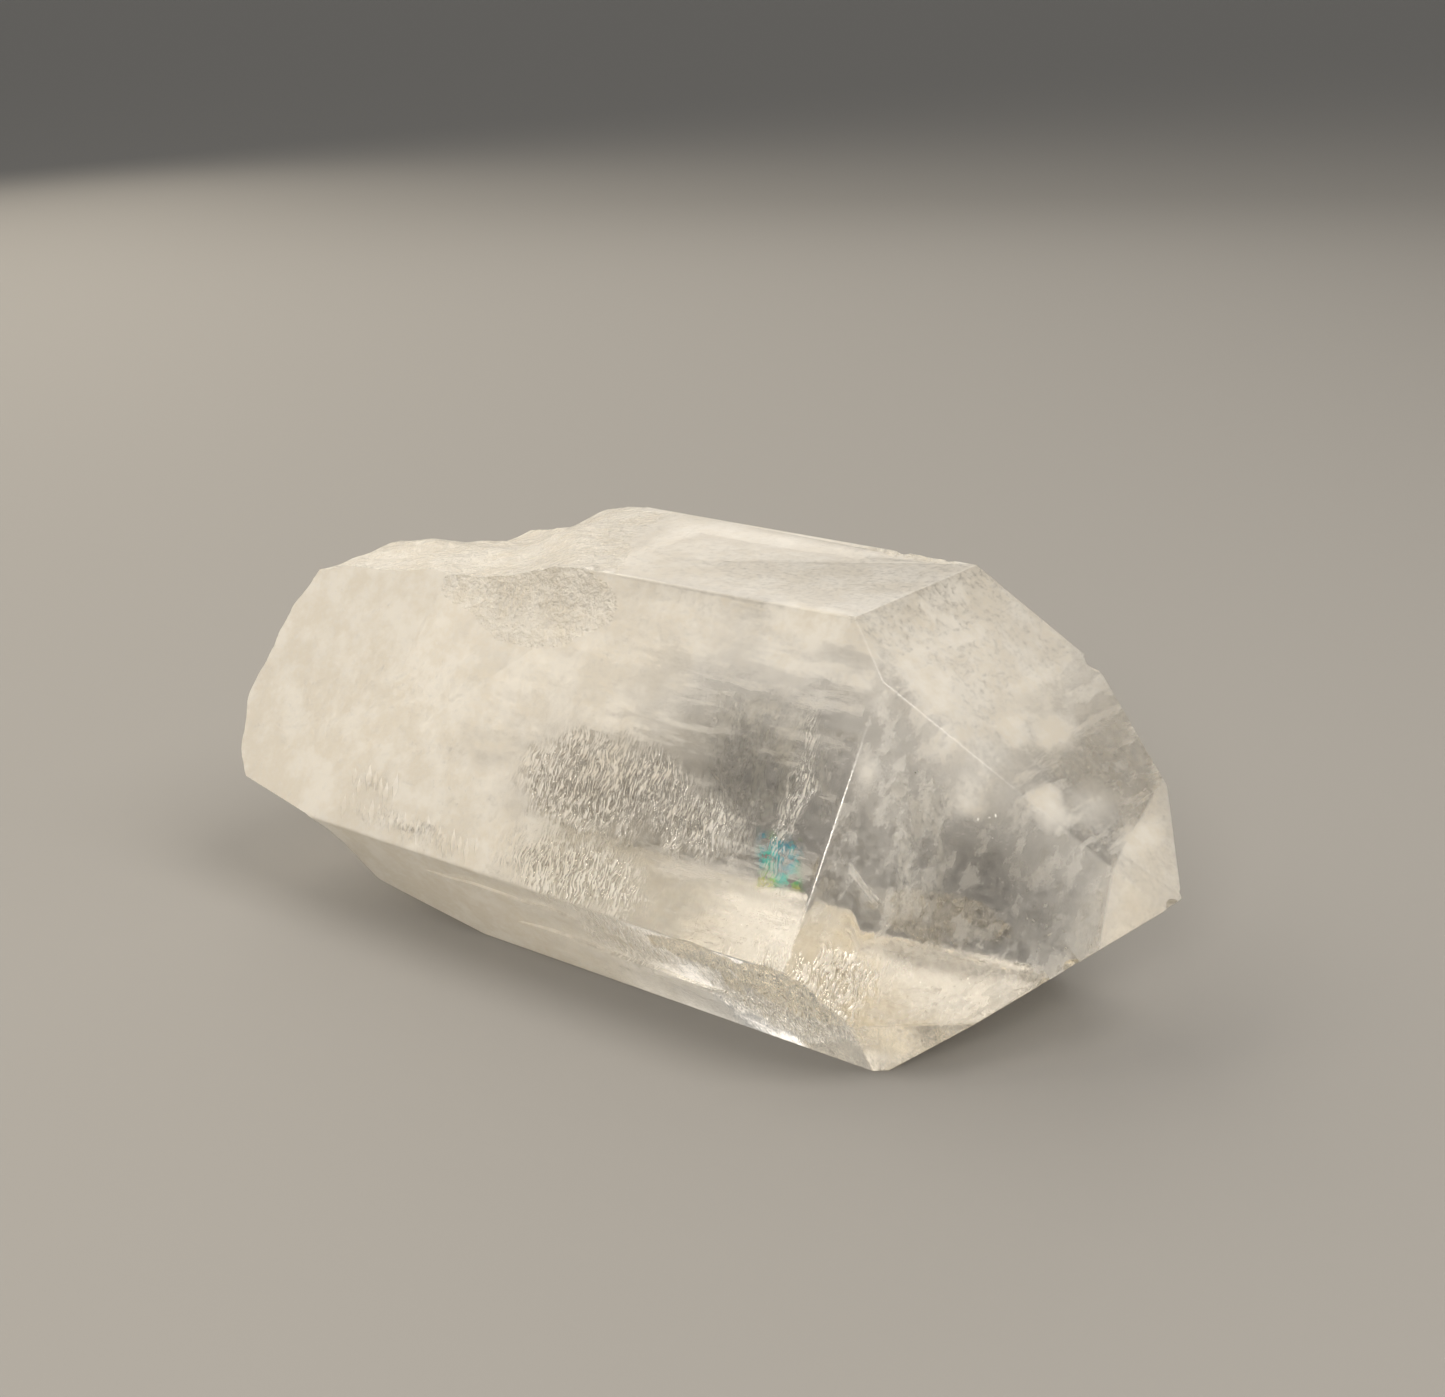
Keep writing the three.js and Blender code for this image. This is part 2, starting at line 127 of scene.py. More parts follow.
FLOOR_HALF = 30000  # mm
FLOOR_GAP = 0.08  # the hair of air between the stone and the paper, which touch only here and there
corners = [(x * FLOOR_HALF, y * FLOOR_HALF, -FLOOR_GAP) for x, y in ((-1, -1), (1, -1), (1, 1), (-1, 1))]
floor = mesh_object("floor", corners, [(0, 1, 2, 3)])
paper, tree = new_material("pale_matt_paper")
surface = add(tree, "ShaderNodeBsdfPrincipled", {"Base Color": linear("#8F8D8A"), "Roughness": 0.75})
add(tree, "ShaderNodeOutputMaterial", {"Surface": surface}, out=None)
floor.data.materials.append(paper)
floor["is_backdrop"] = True

SOFT_BOXES = (
    # name, centre (mm), looks at (mm), width, height (mm), watts, colour
    ("left_above", (-560, 0, 460), (0, 0, 20), 1150, 900, 5.6, "#FFF4E2"),
    ("overhead", (360, 40, 560), (0, 0, 20), 420, 420, 2.6, "#FFF8EE"),
    ("back_left", (-330, 520, 320), (0, 0, 20), 420, 180, 0.4, "#FFF8EE"),
    ("front_right", (260, -540, 340), (0, 0, 20), 180, 180, 2.2, "#FFF8EE"),
)
for name, centre, target, width, height, watts, colour in SOFT_BOXES:
    light = bpy.data.lights.new(name, "AREA")
    light.shape = "RECTANGLE"
    light.size = width * MM
    light.size_y = height * MM
    light.energy = watts
    light.color = linear(colour)[:3]
    lamp = bpy.data.objects.new(name, light)
    centre, target = Vector(centre) * MM, Vector(target) * MM
    aim = (target - centre).to_track_quat("-Z", "Y")
    lamp.matrix_world = Matrix.Translation(centre) @ aim.to_matrix().to_4x4()
    bpy.context.scene.collection.objects.link(lamp)

world = bpy.data.worlds.new("studio")
world.use_nodes = True
world.node_tree.nodes.clear()
surface = add(world.node_tree, "ShaderNodeBackground", {"Color": linear("#F2F0EC"), "Strength": 0.37})
add(world.node_tree, "ShaderNodeOutputWorld", {"Surface": surface}, out=None)
bpy.context.scene.world = world
bpy.context.scene.view_settings.view_transform = "Standard"

# ---- The crystal ---------------------------------------------------------------------------------
# One quartz crystal, lying on a prism face: six long prism faces and the six faces of the point, as it
# grew. The root end is broken stone. Flakes, ledges and hollows are cut out of the solid, and two rows
# of short growth ridges are joined on. The stone is clear, and turns milky towards the root.

# While it is shaped, X is the growth axis, with the point at +X and the shoulder near x = 0, in mm.
# Each face: degrees round the axis from straight up, degrees from the axis, distance from the shoulder.
LONG_FACES = {
    "top": (1.3, 90.8, 21.3),
    "front": (58.5, 89.9, 16.5),
    "lower": (120, 90.1, 26.6),
    "bottom": (180, 90, 21.2),
    "low_back": (240, 91.5, 19.8),
    "up_back": (298.9, 88.7, 24.1),
}
POINT_FACES = {
    "top": (2.3, 48.5, 12.45),
    "front": (59.4, 49.9, 12.5),
    "lower": (120, 51.6, 24.2),
    "bottom": (180, 51.7, 20.7),
    "low_back": (240.5, 52.1, 22.4),
    "up_back": (299.9, 51.6, 23.2),
}
ROUGH_ROOT_X = -92
SET_DOWN = np.array((29.873, 0.202, 21.2))  # from the shoulder to the middle of the resting face's plane
EDGE_WEAR = 0.16  # width of the worn strip along each edge

# The broken root end: height, and how far out the stone reaches at the front and at the back.
ROOT_PROFILE = np.array(
    (
        (-21.3, -47.0, -66.0),
        (-20.0, -52.3, -68.5),
        (-18.6, -57.8, -70.0),
        (-17.3, -62.8, -71.5),
        (-13.7, -64.4, -75.0),
        (-10.6, -66.6, -77.5),
        (-9.2, -69.5, -78.5),
        (-7.4, -81.4, -79.5),
        (-5.6, -83.0, -80.5),
        (-3.0, -83.8, -81.5),
        (0.8, -85.2, -82.0),
        (6.1, -84.1, -81.0),
        (10.7, -84.8, -79.0),
        (15.6, -82.0, -76.0),
        (22.0, -76.0, -72.0),
    )
)
ROOT_FRONT_Y, ROOT_BACK_Y = -22, 24  # where the front profile gives way to the back one
# Shell-shaped scoops: two coordinates of the middle, radius, depth.
ROOT_SCOOPS = ((-4, 8, 11, 2.0), (12, -4, 15, 3.4), (6, 16, 8, 1.6), (20, 8, 8, 1.8), (-2, -11, 8, 1.6))
# The break over the top of the root: where it starts on the top face, as across and along.
SLOPE_START = np.array(((-8, -36.0), (-3, -38.8), (1.5, -41.8), (6, -45.4), (13.5, -47.2), (20, -48.5)))
# How far it lies below the face: distance past the start, drop along the front, drop along the back.
SLOPE_PROFILE = np.array(
    (
        (-3, -0.4, -0.4),
        (0, 0.02, 0.02),
        (4, 0.15, 0.15),
        (8, 0.5, 0.6),
        (12, 1.15, 1.6),
        (14, 1.5, 2.6),
        (16, 1.8, 3.8),
        (18, 2.05, 4.8),
        (20, 2.3, 5.4),
        (24, 2.6, 6.6),
        (30, 2.9, 7.8),
        (38, 3.55, 8.8),
        (46, 4.9, 11.5),
    )
)
SLOPE_SCOOPS = ((-57, -4, 9, 0.8), (-70, -6, 7, 0.5), (-63, 6, 6, 0.5))
SLOPE_FRONT_Y, SLOPE_BACK_Y = -1, 16  # where the front profile gives way to the back one
SLOPE_SMOOTH = 4  # past the start line before the scoops and the roughness come in

# Both breaks: height and size of the coarsest swells of the broken stone, and how many finer sets follow.
ROOT_ROUGHNESS = (0.8, 9)
SLOPE_ROUGHNESS = (0.4, 6)
BROKEN_OCTAVES = 6
FINER = 2.1  # each set is so many times finer and flatter than the one before
BREAK_COLUMNS, BREAK_ROWS = 150, 110  # points in each cutter's surface
ROOT_CUT_Y, ROOT_CUT_Z = 36, 24  # half size of the root cutter's surface
TOP_CUT_FROM_Y, TOP_CUT_TO_Y = -22, 30
ROOT_CUT_AWAY, TOP_CUT_AWAY = (-60, 0, 0), (0, 0, 40)  # how far the cutters reach out of the stone

# Shallow hollows: face, along, across, half length, half width, depth, roughness.
DENTS = (
    ("front", -49, 9.8, 15.5, 5.8, 0.8, 0.14),
    ("lower", -1, 1.2, 9, 4.6, 0.35, 0.22),
    ("lower", -13, 2.6, 6, 2.4, 0.3, 0.14),
    ("top", -12, 15.6, 7, 1.5, 0.5, 0.16),
    ("up_back", -58, 2, 13, 7, 1.1, 0.2),
    ("low_back", -50, -9, 15, 6, 1.2, 0.2),
    ("low_back", -8, 10.5, 9, 3, 0.5, 0.15),
)
DENT_RIM = 1.35  # a dent's depth is gone at 1 / sqrt(this) of its radius
DENT_WARP = 0.45  # how unevenly
DENT_GRAINS = 5  # swells of its rough floor in its longer radius
DENT_OCTAVES = 5
DENT_CELLS = 5  # cells of its cutter for each mm of its half length or half width
DENT_CLEARANCE = 0.4  # how far its rim stands off the face
# Growth ledges: face, from, to, place of the foot across the face, width, height.
LEDGES = (
    ("lower", -40, -10, -3.6, 5.5, 0.5),
    ("lower", -52, -29, 1.2, 3.4, 0.35),
    ("up_back", -46, -6, -4.5, 6, 0.45),
    ("up_back", -30, 2, 3.5, 4.5, 0.3),
    ("low_back", -48, 6, 2.5, 6.5, 0.5),
    ("top", -40, -16, 11.5, 3.2, 0.25),
)
LEDGE_WANDER = 0.5  # how far its foot strays from straight
LEDGE_ENDS = 0.4  # how bluntly it comes to full depth from its ends: 0 is at once
LEDGE_LIFT = 0.03  # how far the cutter's thin side stands off the face
# Flakes off edges and corners: where, and size.
NICKS = (
    ((-5.6, -6.8, 21.6), 0.9),
    ((7.4, 21.2, 11.6), 1.6),
    ((9.4, 21.6, 9.6), 1.1),
    ((1.6, 18.4, 16.9), 0.7),
    ((26.6, 4.2, -6.4), 1.5),
    ((25.9, 6.9, -5.6), 0.7),
    ((20.4, -5.6, -10.6), 1.0),
    ((18.6, -7.8, -12.0), 0.7),
    ((-8.2, 16.2, 21.9), 0.9),
    ((-14.5, 16.4, 22.0), 1.1),
    ((-22.0, 16.6, 22.0), 0.7),
    ((-24.5, -7.2, 21.6), 0.5),
    ((-11.5, -7.0, 21.7), 0.45),
    ((-44.0, -26.6, -9.3), 1.0),
    ((-49.5, -26.7, -9.4), 1.4),
    ((-57.0, -26.7, -9.2), 1.1),
    ((-33.0, -26.4, -9.5), 0.8),
    ((-22.0, -26.2, -9.6), 0.7),
    ((5.7, -22.8, -14.9), 0.8),
    ((2.8, -24.2, -12.5), 0.6),
    ((-30.0, 25.2, 4.6), 1.2),
    ((-3.0, 25.2, 4.2), 0.9),
    ((-40.0, 10.4, -21.6), 1.3),
    ((-12.0, 11.3, -21.6), 0.8),
)
# Which of the random patterns each kind of mark takes.
SEEDS = {"root break": 11, "top break": 26, "dents": 60, "ledges": 80, "ridges": 7, "nicks": 1}
NICK_STRETCH = (1.25, 1.0, 0.9)
NICK_TURNS = (0.7, 1.3)  # radians about Y and X, more for each next one


def outward(around, lean):
    """A face's outward direction."""
    turn, tilt = math.radians(around), math.radians(lean)
    return np.array((math.cos(tilt), -math.sin(tilt) * math.sin(turn), math.sin(tilt) * math.cos(turn)))


def smoothstep(v, low, high):
    """0 below low, 1 above high, and a smooth rise between them."""
    t = np.clip((v - low) / (high - low), 0, 1)
    return t * t * (3 - 2 * t)


def grid_value(i, j, seed):
    """A repeatable value from -1 to 1 for each whole-number point of a grid."""
    h = (i * 374761393 + j * 668265263 + seed * 974634777) & 0xFFFFFFFF
    h = h.astype(np.uint64)
    h = ((h ^ (h >> np.uint64(13))) * np.uint64(1274126177)) & np.uint64(0xFFFFFFFF)
    return (h ^ (h >> np.uint64(16))).astype(float) / 0xFFFFFFFF * 2 - 1


def swell(u, v, seed):
    """Smooth random ups and downs, from -1 to 1, a unit apart."""
    i, j = np.floor(u).astype(np.int64), np.floor(v).astype(np.int64)
    fu, fv = smoothstep(u - i, 0, 1), smoothstep(v - j, 0, 1)
    near = grid_value(i, j, seed) * (1 - fu) + grid_value(i + 1, j, seed) * fu
    far = grid_value(i, j + 1, seed) * (1 - fu) + grid_value(i + 1, j + 1, seed) * fu
    return near * (1 - fv) + far * fv


def roughness(u, v, height, size, seed, octaves):
    """Rough broken stone: swells of a height and size, with finer and flatter sets on top."""
    finer = [FINER**n for n in range(octaves)]
    return sum(swell(u * f / size, v * f / size, seed + n) * height / f for n, f in enumerate(finer))


def scooped(u, v, scoops):
    """How deep shell-shaped scoops go, with a crisp rim where two meet."""
    depth = np.zeros_like(u)
    for su, sv, radius, deep in scoops:
        depth = np.maximum(depth, deep * (1 - ((u - su) ** 2 + (v - sv) ** 2) / radius**2))
    return depth


def cutter(columns, rows, point_at, away):
    """A closed cutter: a grid of points and the same grid moved by `away`, in mm from the shoulder."""
    u, v = np.meshgrid(np.linspace(0, 1, columns + 1), np.linspace(0, 1, rows + 1))
    near = point_at(u.ravel(), v.ravel())
    points = np.concatenate((near, near + np.array(away)))
    step, sheet = columns + 1, (columns + 1) * (rows + 1)
    r, c = (g.ravel() for g in np.meshgrid(np.arange(rows), np.arange(columns), indexing="ij"))
    a = r * step + c
    faces = [np.stack((a, a + step, a + step + 1, a + 1), 1)]
    faces += [np.stack((a + 1, a + step + 1, a + step, a), 1) + sheet]
    c, r = np.arange(columns), np.arange(rows)
    faces += [np.stack((c, c + 1, c + 1 + sheet, c + sheet), 1)]
    c = c + rows * step
    faces += [np.stack((c + 1, c, c + sheet, c + 1 + sheet), 1)]
    r = r * step
    faces += [np.stack((r + step, r, r + sheet, r + step + sheet), 1)]
    r = r + columns
    faces += [np.stack((r, r + step, r + step + sheet, r + sheet), 1)]
    return mesh_object("cutter", points + SET_DOWN, np.concatenate(faces).tolist())


def root_break():
    """What broke off the root end."""

    def point_at(u, v):
        y, z = ROOT_CUT_Y - 2 * ROOT_CUT_Y * u, -ROOT_CUT_Z + 2 * ROOT_CUT_Z * v
        height, front, back = ROOT_PROFILE.T
        reach = np.interp(z, height, front), np.interp(z, height, back)
        backness = smoothstep(y, ROOT_FRONT_Y, ROOT_BACK_Y)
        x = reach[0] * (1 - backness) + reach[1] * backness
        x = x + scooped(y, z, ROOT_SCOOPS)
        x = x + roughness(y, z, *ROOT_ROUGHNESS, SEEDS["root break"], octaves=BROKEN_OCTAVES)
        return np.stack((x, y, z), 1)

    return cutter(BREAK_COLUMNS, BREAK_ROWS, point_at, ROOT_CUT_AWAY)


def top_break():
    """What broke off the top of the root. The grid's last column but one lies on the start line."""
    columns = BREAK_COLUMNS
    out = outward(*LONG_FACES["top"][:2])

    def point_at(u, v):
        y = TOP_CUT_FROM_Y + (TOP_CUT_TO_Y - TOP_CUT_FROM_Y) * v
        start = np.interp(y, *SLOPE_START.T)
        past = (start - ROUGH_ROOT_X) * (1 - u * columns / (columns - 1))
        x = start - past
        distance, front, back = SLOPE_PROFILE.T
        share = smoothstep(y, SLOPE_FRONT_Y, SLOPE_BACK_Y)
        drop = np.interp(past, distance, front) * (1 - share) + np.interp(past, distance, back) * share
        broken = scooped(x, y, SLOPE_SCOOPS)
        broken = broken + roughness(x, y, *SLOPE_ROUGHNESS, SEEDS["top break"], octaves=BROKEN_OCTAVES)
        face = (LONG_FACES["top"][2] - out[0] * x - out[1] * y) / out[2]
        z = face - drop - broken * (1 - np.exp(-np.maximum(past, 0) / SLOPE_SMOOTH))
        return np.stack((x, y, z), 1)

    return cutter(columns, BREAK_ROWS, point_at, TOP_CUT_AWAY)


def face_frame(name):
    """A long face's own place function (along, across, height) and its outward direction."""
    around, lean, reach = LONG_FACES[name]
    out = outward(around, lean)
    along = np.array((1.0, 0, 0)) - out * out[0]
    along /= np.linalg.norm(along)
    across = np.cross(out, along)

    def place(x, w, height):
        points = reach * out + np.multiply.outer(x, along)
        points = points + np.multiply.outer(w, across)
        return points + np.multiply.outer(height, out)

    return out, place


def dent(face, x, w, half_length, half_width, depth, rough, seed):
    """A shallow hollow with a rough floor."""
    out, place = face_frame(face)
    grain = max(half_length, half_width) / DENT_GRAINS

    def point_at(u, v):
        a, b = 2 * u - 1, 2 * v - 1
        warp = DENT_WARP * swell(a * 2.1, b * 1.7, seed)
        bowl = depth * (1 - (a * a + b * b) * (DENT_RIM + warp))
        ripple = roughness(a * half_length, b * half_width, rough, grain, seed + 1, octaves=DENT_OCTAVES)
        height = np.minimum(DENT_CLEARANCE, -bowl - ripple)
        return place(x + a * half_length, w + b * half_width, height)

    return cutter(round(half_length * DENT_CELLS), round(half_width * DENT_CELLS), point_at, out * 3)


def ledge(face, start, end, foot, width, height, seed):
    """A thin wedge off a face: full depth at its foot, running out to nothing across its width."""
    out, place = face_frame(face)

    def point_at(u, v):
        wander = LEDGE_WANDER * swell(u * 6, np.zeros_like(u), seed) * (1 - v)
        depth = height * (1 - v) * np.sin(np.pi * u) ** LEDGE_ENDS - LEDGE_LIFT * v
        return place(start + (end - start) * u, foot + wander + v * width, -depth)

    return cutter(48, 6, point_at, out * 2)


def nick(at, size, seed):
    """A small round flake."""
    bm = bmesh.new()
    bmesh.ops.create_icosphere(bm, subdivisions=2, radius=size)
    about_y, about_x = (seed * turn for turn in NICK_TURNS)
    turned = Matrix.Rotation(about_y, 3, "Y") @ Matrix.Rotation(about_x, 3, "X")
    points = [turned @ v.co for v in bm.verts]
    faces = [[v.index for v in f.verts] for f in bm.faces]
    bm.free()
    points = [np.array(p) * NICK_STRETCH + at + SET_DOWN for p in points]
    return mesh_object("flake", points, faces)


def growth_form():
    """The whole convex crystal, with its edges lightly worn."""
    normals = [outward(a, l) for a, l, _ in (*LONG_FACES.values(), *POINT_FACES.values())]
    reaches = [r for _, _, r in (*LONG_FACES.values(), *POINT_FACES.values())]
    normals, reaches = np.array(normals + [(-1, 0, 0)]), np.array(reaches + [-ROUGH_ROOT_X])
    corners = []
    for i in range(len(normals)):
        for j in range(i + 1, len(normals)):
            for k in range(j + 1, len(normals)):
                three = normals[[i, j, k]]
                if abs(np.linalg.det(three)) > 1e-6:
                    p = np.linalg.solve(three, reaches[[i, j, k]])
                    if (normals @ p < reaches + 1e-6).all():
                        corners.append(p)
    piece = mesh_object("quartz_body", np.array(corners) + SET_DOWN, [])
    bm = bmesh.new()
    bm.from_mesh(piece.data)
    bmesh.ops.convex_hull(bm, input=bm.verts)
    bmesh.ops.dissolve_limit(bm, angle_limit=math.radians(0.2), verts=bm.verts, edges=bm.edges)
    bmesh.ops.recalc_face_normals(bm, faces=bm.faces)
    bmesh.ops.bevel(bm, geom=bm.edges, offset=EDGE_WEAR * MM, segments=2, profile=0.5, affect="EDGES")
    bm.to_mesh(piece.data)
    bm.free()
    return piece


def cut(piece, tool, operation="DIFFERENCE"):
    """Take a cutter out of the piece (or join it on), and remove the cutter."""
    step = piece.modifiers.new("cut", "BOOLEAN")
    step.operation = operation
    step.solver = "MANIFOLD"
    step.object = tool
    shaped = bpy.data.meshes.new_from_object(piece.evaluated_get(bpy.context.evaluated_depsgraph_get()))
    piece.modifiers.clear()
    old, piece.data = piece.data, shaped
    bpy.data.meshes.remove(old)
    bpy.data.meshes.remove(tool.data)


crystal = growth_form()
GROWN, BROKEN = 0, 1
for material_slot in ("grown", "broken"):
    crystal.data.materials.append(bpy.data.materials.new(material_slot))
tools = [nick(*spec, seed=SEEDS["nicks"] + i) for i, spec in enumerate(NICKS)]
tools += [dent(*spec, seed=SEEDS["dents"] + i) for i, spec in enumerate(DENTS)]
tools += [root_break(), top_break()]
for tool in tools:
    for m in crystal.data.materials:
        tool.data.materials.append(m)
    tool.data.polygons.foreach_set("material_index", [BROKEN] * len(tool.data.polygons))
tools += [ledge(*spec, seed=SEEDS["ledges"] + i) for i, spec in enumerate(LEDGES)]
for tool in tools:
    cut(crystal, tool)

# Short steep growth ridges stand in a row along the foot of the front face, near the root.


def node_tree(name, sockets):
    """A Geometry Nodes tree with named inputs; returns it, its inputs by name, and its output's socket."""
    tree = bpy.data.node_groups.new(name, "GeometryNodeTree")
    for label, kind in sockets.items():
        tree.interface.new_socket(label, in_out="INPUT", socket_type="NodeSocket" + kind)
    tree.interface.new_socket("Geometry", in_out="OUTPUT", socket_type="NodeSocketGeometry")
    tree.is_modifier = True
    return tree, tree.nodes.new("NodeGroupInput").outputs, tree.nodes.new("NodeGroupOutput").inputs[0]


def run_nodes(piece, tree, values):
    """Give a piece the result of a Geometry Nodes tree as its plain mesh."""
    step = piece.modifiers.new(tree.name, "NODES")
    step.node_group = tree
    for socket in tree.interface.items_tree:
        if socket.in_out == "INPUT" and socket.name in values:
            step[socket.identifier] = values[socket.name]
    piece.update_tag()
    made = bpy.data.meshes.new_from_object(piece.evaluated_get(bpy.context.evaluated_depsgraph_get()))
    piece.modifiers.clear()
    old, piece.data = piece.data, made
    bpy.data.meshes.remove(old)


RIDGE_ROWS = (
    # middle of the row along and across the front face (mm), how many
    ((-53.8, -18.9), 20),
    ((-60.8, -15.6), 7),
)
RIDGE_SPACING = 1.1  # mm
RIDGE_SIZE = (0.42, 1.5, 0.42)  # half width, half length, height, mm
RIDGE_SIZES = (0.6, 1.15)  # smallest and largest, as shares of that size
RIDGE_LEANS = (0.22, 0.32)  # radians off straight across, upper ends towards the root
RIDGE_JITTER = (0.1, 0.8)  # mm, along and across

tree, given, result = node_tree(
    "growth_ridge_row",
    {
        "Count": "Int",
        "Spacing": "Float",
        "Place": "Vector",
        "Turn": "Vector",
        "Seed": "Int",
        "Material": "Material",
    },
)
row = add(tree, "GeometryNodeMeshLine", {"Count": given["Count"]}, mode="OFFSET")
line = row.node
tree.links.new(add(tree, "ShaderNodeCombineXYZ", {"X": given["Spacing"]}), line.inputs["Offset"])
jitter = add(
    tree,
    "FunctionNodeRandomValue",
    {
        "Min": (-RIDGE_JITTER[0] * MM, -RIDGE_JITTER[1] * MM, 0.0),
        "Max": (RIDGE_JITTER[0] * MM, RIDGE_JITTER[1] * MM, 0.0),
        "Seed": given["Seed"],
    },
    data_type="FLOAT_VECTOR",
)
row = add(tree, "GeometryNodeSetPosition", {"Geometry": row, "Offset": jitter})
blank = add(tree, "GeometryNodeMeshUVSphere", {"Radius": MM, "Segments": 4, "Rings": 2})
lean = add(
    tree,
    "FunctionNodeRandomValue",
    {"Min": (0.0, 0.0, RIDGE_LEANS[0]), "Max": (0.0, 0.0, RIDGE_LEANS[1]), "Seed": given["Seed"]},
    data_type="FLOAT_VECTOR",
)
size = add(
    tree, "FunctionNodeRandomValue", {2: RIDGE_SIZES[0], 3: RIDGE_SIZES[1], "Seed": given["Seed"]}, out=1
)
size = add(tree, "ShaderNodeVectorMath", {0: RIDGE_SIZE, "Scale": size}, operation="SCALE")
row = add(
    tree, "GeometryNodeInstanceOnPoints", {"Points": row, "Instance": blank, "Rotation": lean, "Scale": size}
)
moved = {"Geometry": row, "Translation": given["Place"], "Rotation": given["Turn"]}
row = add(tree, "GeometryNodeTransform", moved)
row = add(tree, "GeometryNodeRealizeInstances", {"Geometry": row})
row = add(tree, "GeometryNodeSetMaterial", {"Geometry": row, "Material": given["Material"]})
tree.links.new(row, result)

out, place = face_frame("front")
origin, along, across = (place(*np.array(p, float)[:, None])[0] for p in ((0, 0, 0), (1, 0, 0), (0, 1, 0)))
turn = Matrix((along - origin, across - origin, out)).transposed().to_euler()
for i, ((x, w), count) in enumerate(RIDGE_ROWS):
    start = place(*np.array((x - RIDGE_SPACING * (count - 1) / 2, w, 0.0))[:, None])[0] + SET_DOWN
    ridges = mesh_object("ridge_row", [], [])
    run_nodes(
        ridges,
        tree,
        {
            "Count": count,
            "Spacing": RIDGE_SPACING * MM,
            "Place": tuple(start * MM),
            "Turn": tuple(turn),
            "Seed": SEEDS["ridges"] + i,
            "Material": crystal.data.materials[GROWN],
        },
    )
    cut(crystal, ridges, operation="UNION")
while len(crystal.data.materials) > 2:
    crystal.data.materials.pop()
crystal.name = crystal.data.name = "crystal_body"

for polygon in crystal.data.polygons:
    polygon.use_smooth = polygon.material_index == BROKEN
crystal.data.set_sharp_from_angle(angle=math.radians(32))

# The stone's colours: haze, duller haze, clear stone, painted shade that darkens the clear stone where
# darkness shows through it, and the borders of the etched strokes.
MILK = linear("#F8F4EB")
MILK_SHADE = linear("#EAE3D5")
CLEAR = linear("#FDFDFD")
# painted shade: a dark tint on the clear stone, standing in for darkness seen through it
PAINTED_SHADE = linear("#7A7977")
SCRATCH = linear("#6F675B")
SOFT = {"interpolation_type": "SMOOTHSTEP"}  # for a map range node
QUARTZ_IOR = 1.544
HALF_MILKY = 0.36  # the grain leaves the haze alone where it is this dense
GROWN_ROUGHNESS, BROKEN_ROUGHNESS, HAZE_ROUGHNESS = 0.03, 0.14, 0.7
THROUGH_HAZE = 0.42  # how much of the light the densest haze still lets through

# Patches on the faces, each as middle, radii and amount. Etched ones are covered in short fine lines
# across the growth axis, light and dark. White ones are small clouds just under the surface and, on the
# point, painted glare: bright internal reflections painted on as white spots.
ETCHED = (
    ((-31, -18.5, 0.8), (12, 5, 8), 1.0),
    ((-17, -18.5, 0.5), (10, 4, 5), 0.6),
    ((-29, -23.5, -6.5), (14, 4, 5), 0.7),
    ((-4, -22, -14), (12, 5, 8), 1.0),
    ((-22, -23, -13), (10, 4, 7), 0.6),
    ((4, -21.5, -10), (6, 4, 4), 0.6),
    ((-50, -9, 17), (17, 4, 6), 0.25),
    ((-24, -16.5, 3), (9, 4, 4), 0.6),
    ((-5.5, -16, 4), (2.2, 9, 15), 0.4),
    ((-53.8, -24, -7.4), (13, 3, 2.4), 0.35),
    ((-60.8, -22.3, -4.6), (6, 3, 2.2), 0.25),
)
# white clouds, and painted glare: internal reflections painted on as white spots on the point
WHITE_CLOUDS_AND_GLARE = (
    ((2.3, -4.1, 14.5), (4.4, 3.6, 3.8), 0.5),
    ((8.2, 2.1, 9.4), (2.8, 2.6, 2.8), 0.5),
    ((10.1, 7.7, 8.0), (2.6, 4.6, 2.8), 0.6),
    ((14.6, -1.1, 3.6), (2.8, 3.2, 3.2), 1.0),
    ((16.6, 4.6, 2.6), (3.6, 6.0, 3.4), 0.45),
    ((20.2, 7.0, -1.0), (2.2, 5.4, 2.4), 0.7),
    ((0.8, -13.5, 8.0), (1.8, 2.2, 4.0), 0.6),
    ((8.8, -7.4, 5.0), (2.4, 3.0, 2.4), 0.5),
    ((-10.0, -7.0, 19.8), (7.0, 2.4, 3.6), 0.8),
    ((-29.0, -17.5, 3.1), (3.4, 2.4, 4.4), 0.6),
)
# Painted shade: clear places tinted dark, standing in for the darkness seen through the stone.
PAINTED_SHADE_PATCHES = (
    ((-11.0, -14.5, 4.0), (18.0, 6.0, 12.0), 1.2),
    ((-26.0, -17.0, 1.0), (16.0, 7.0, 10.0), 1.1),
    ((12.0, -8.5, 0.0), (12.0, 10.0, 11.0), 1.1),
    ((-14.0, 5.0, 21.4), (34.0, 22.0, 5.0), 1.1),
    ((14.0, 8.0, 4.5), (9.0, 16.0, 9.0), 0.5),
)


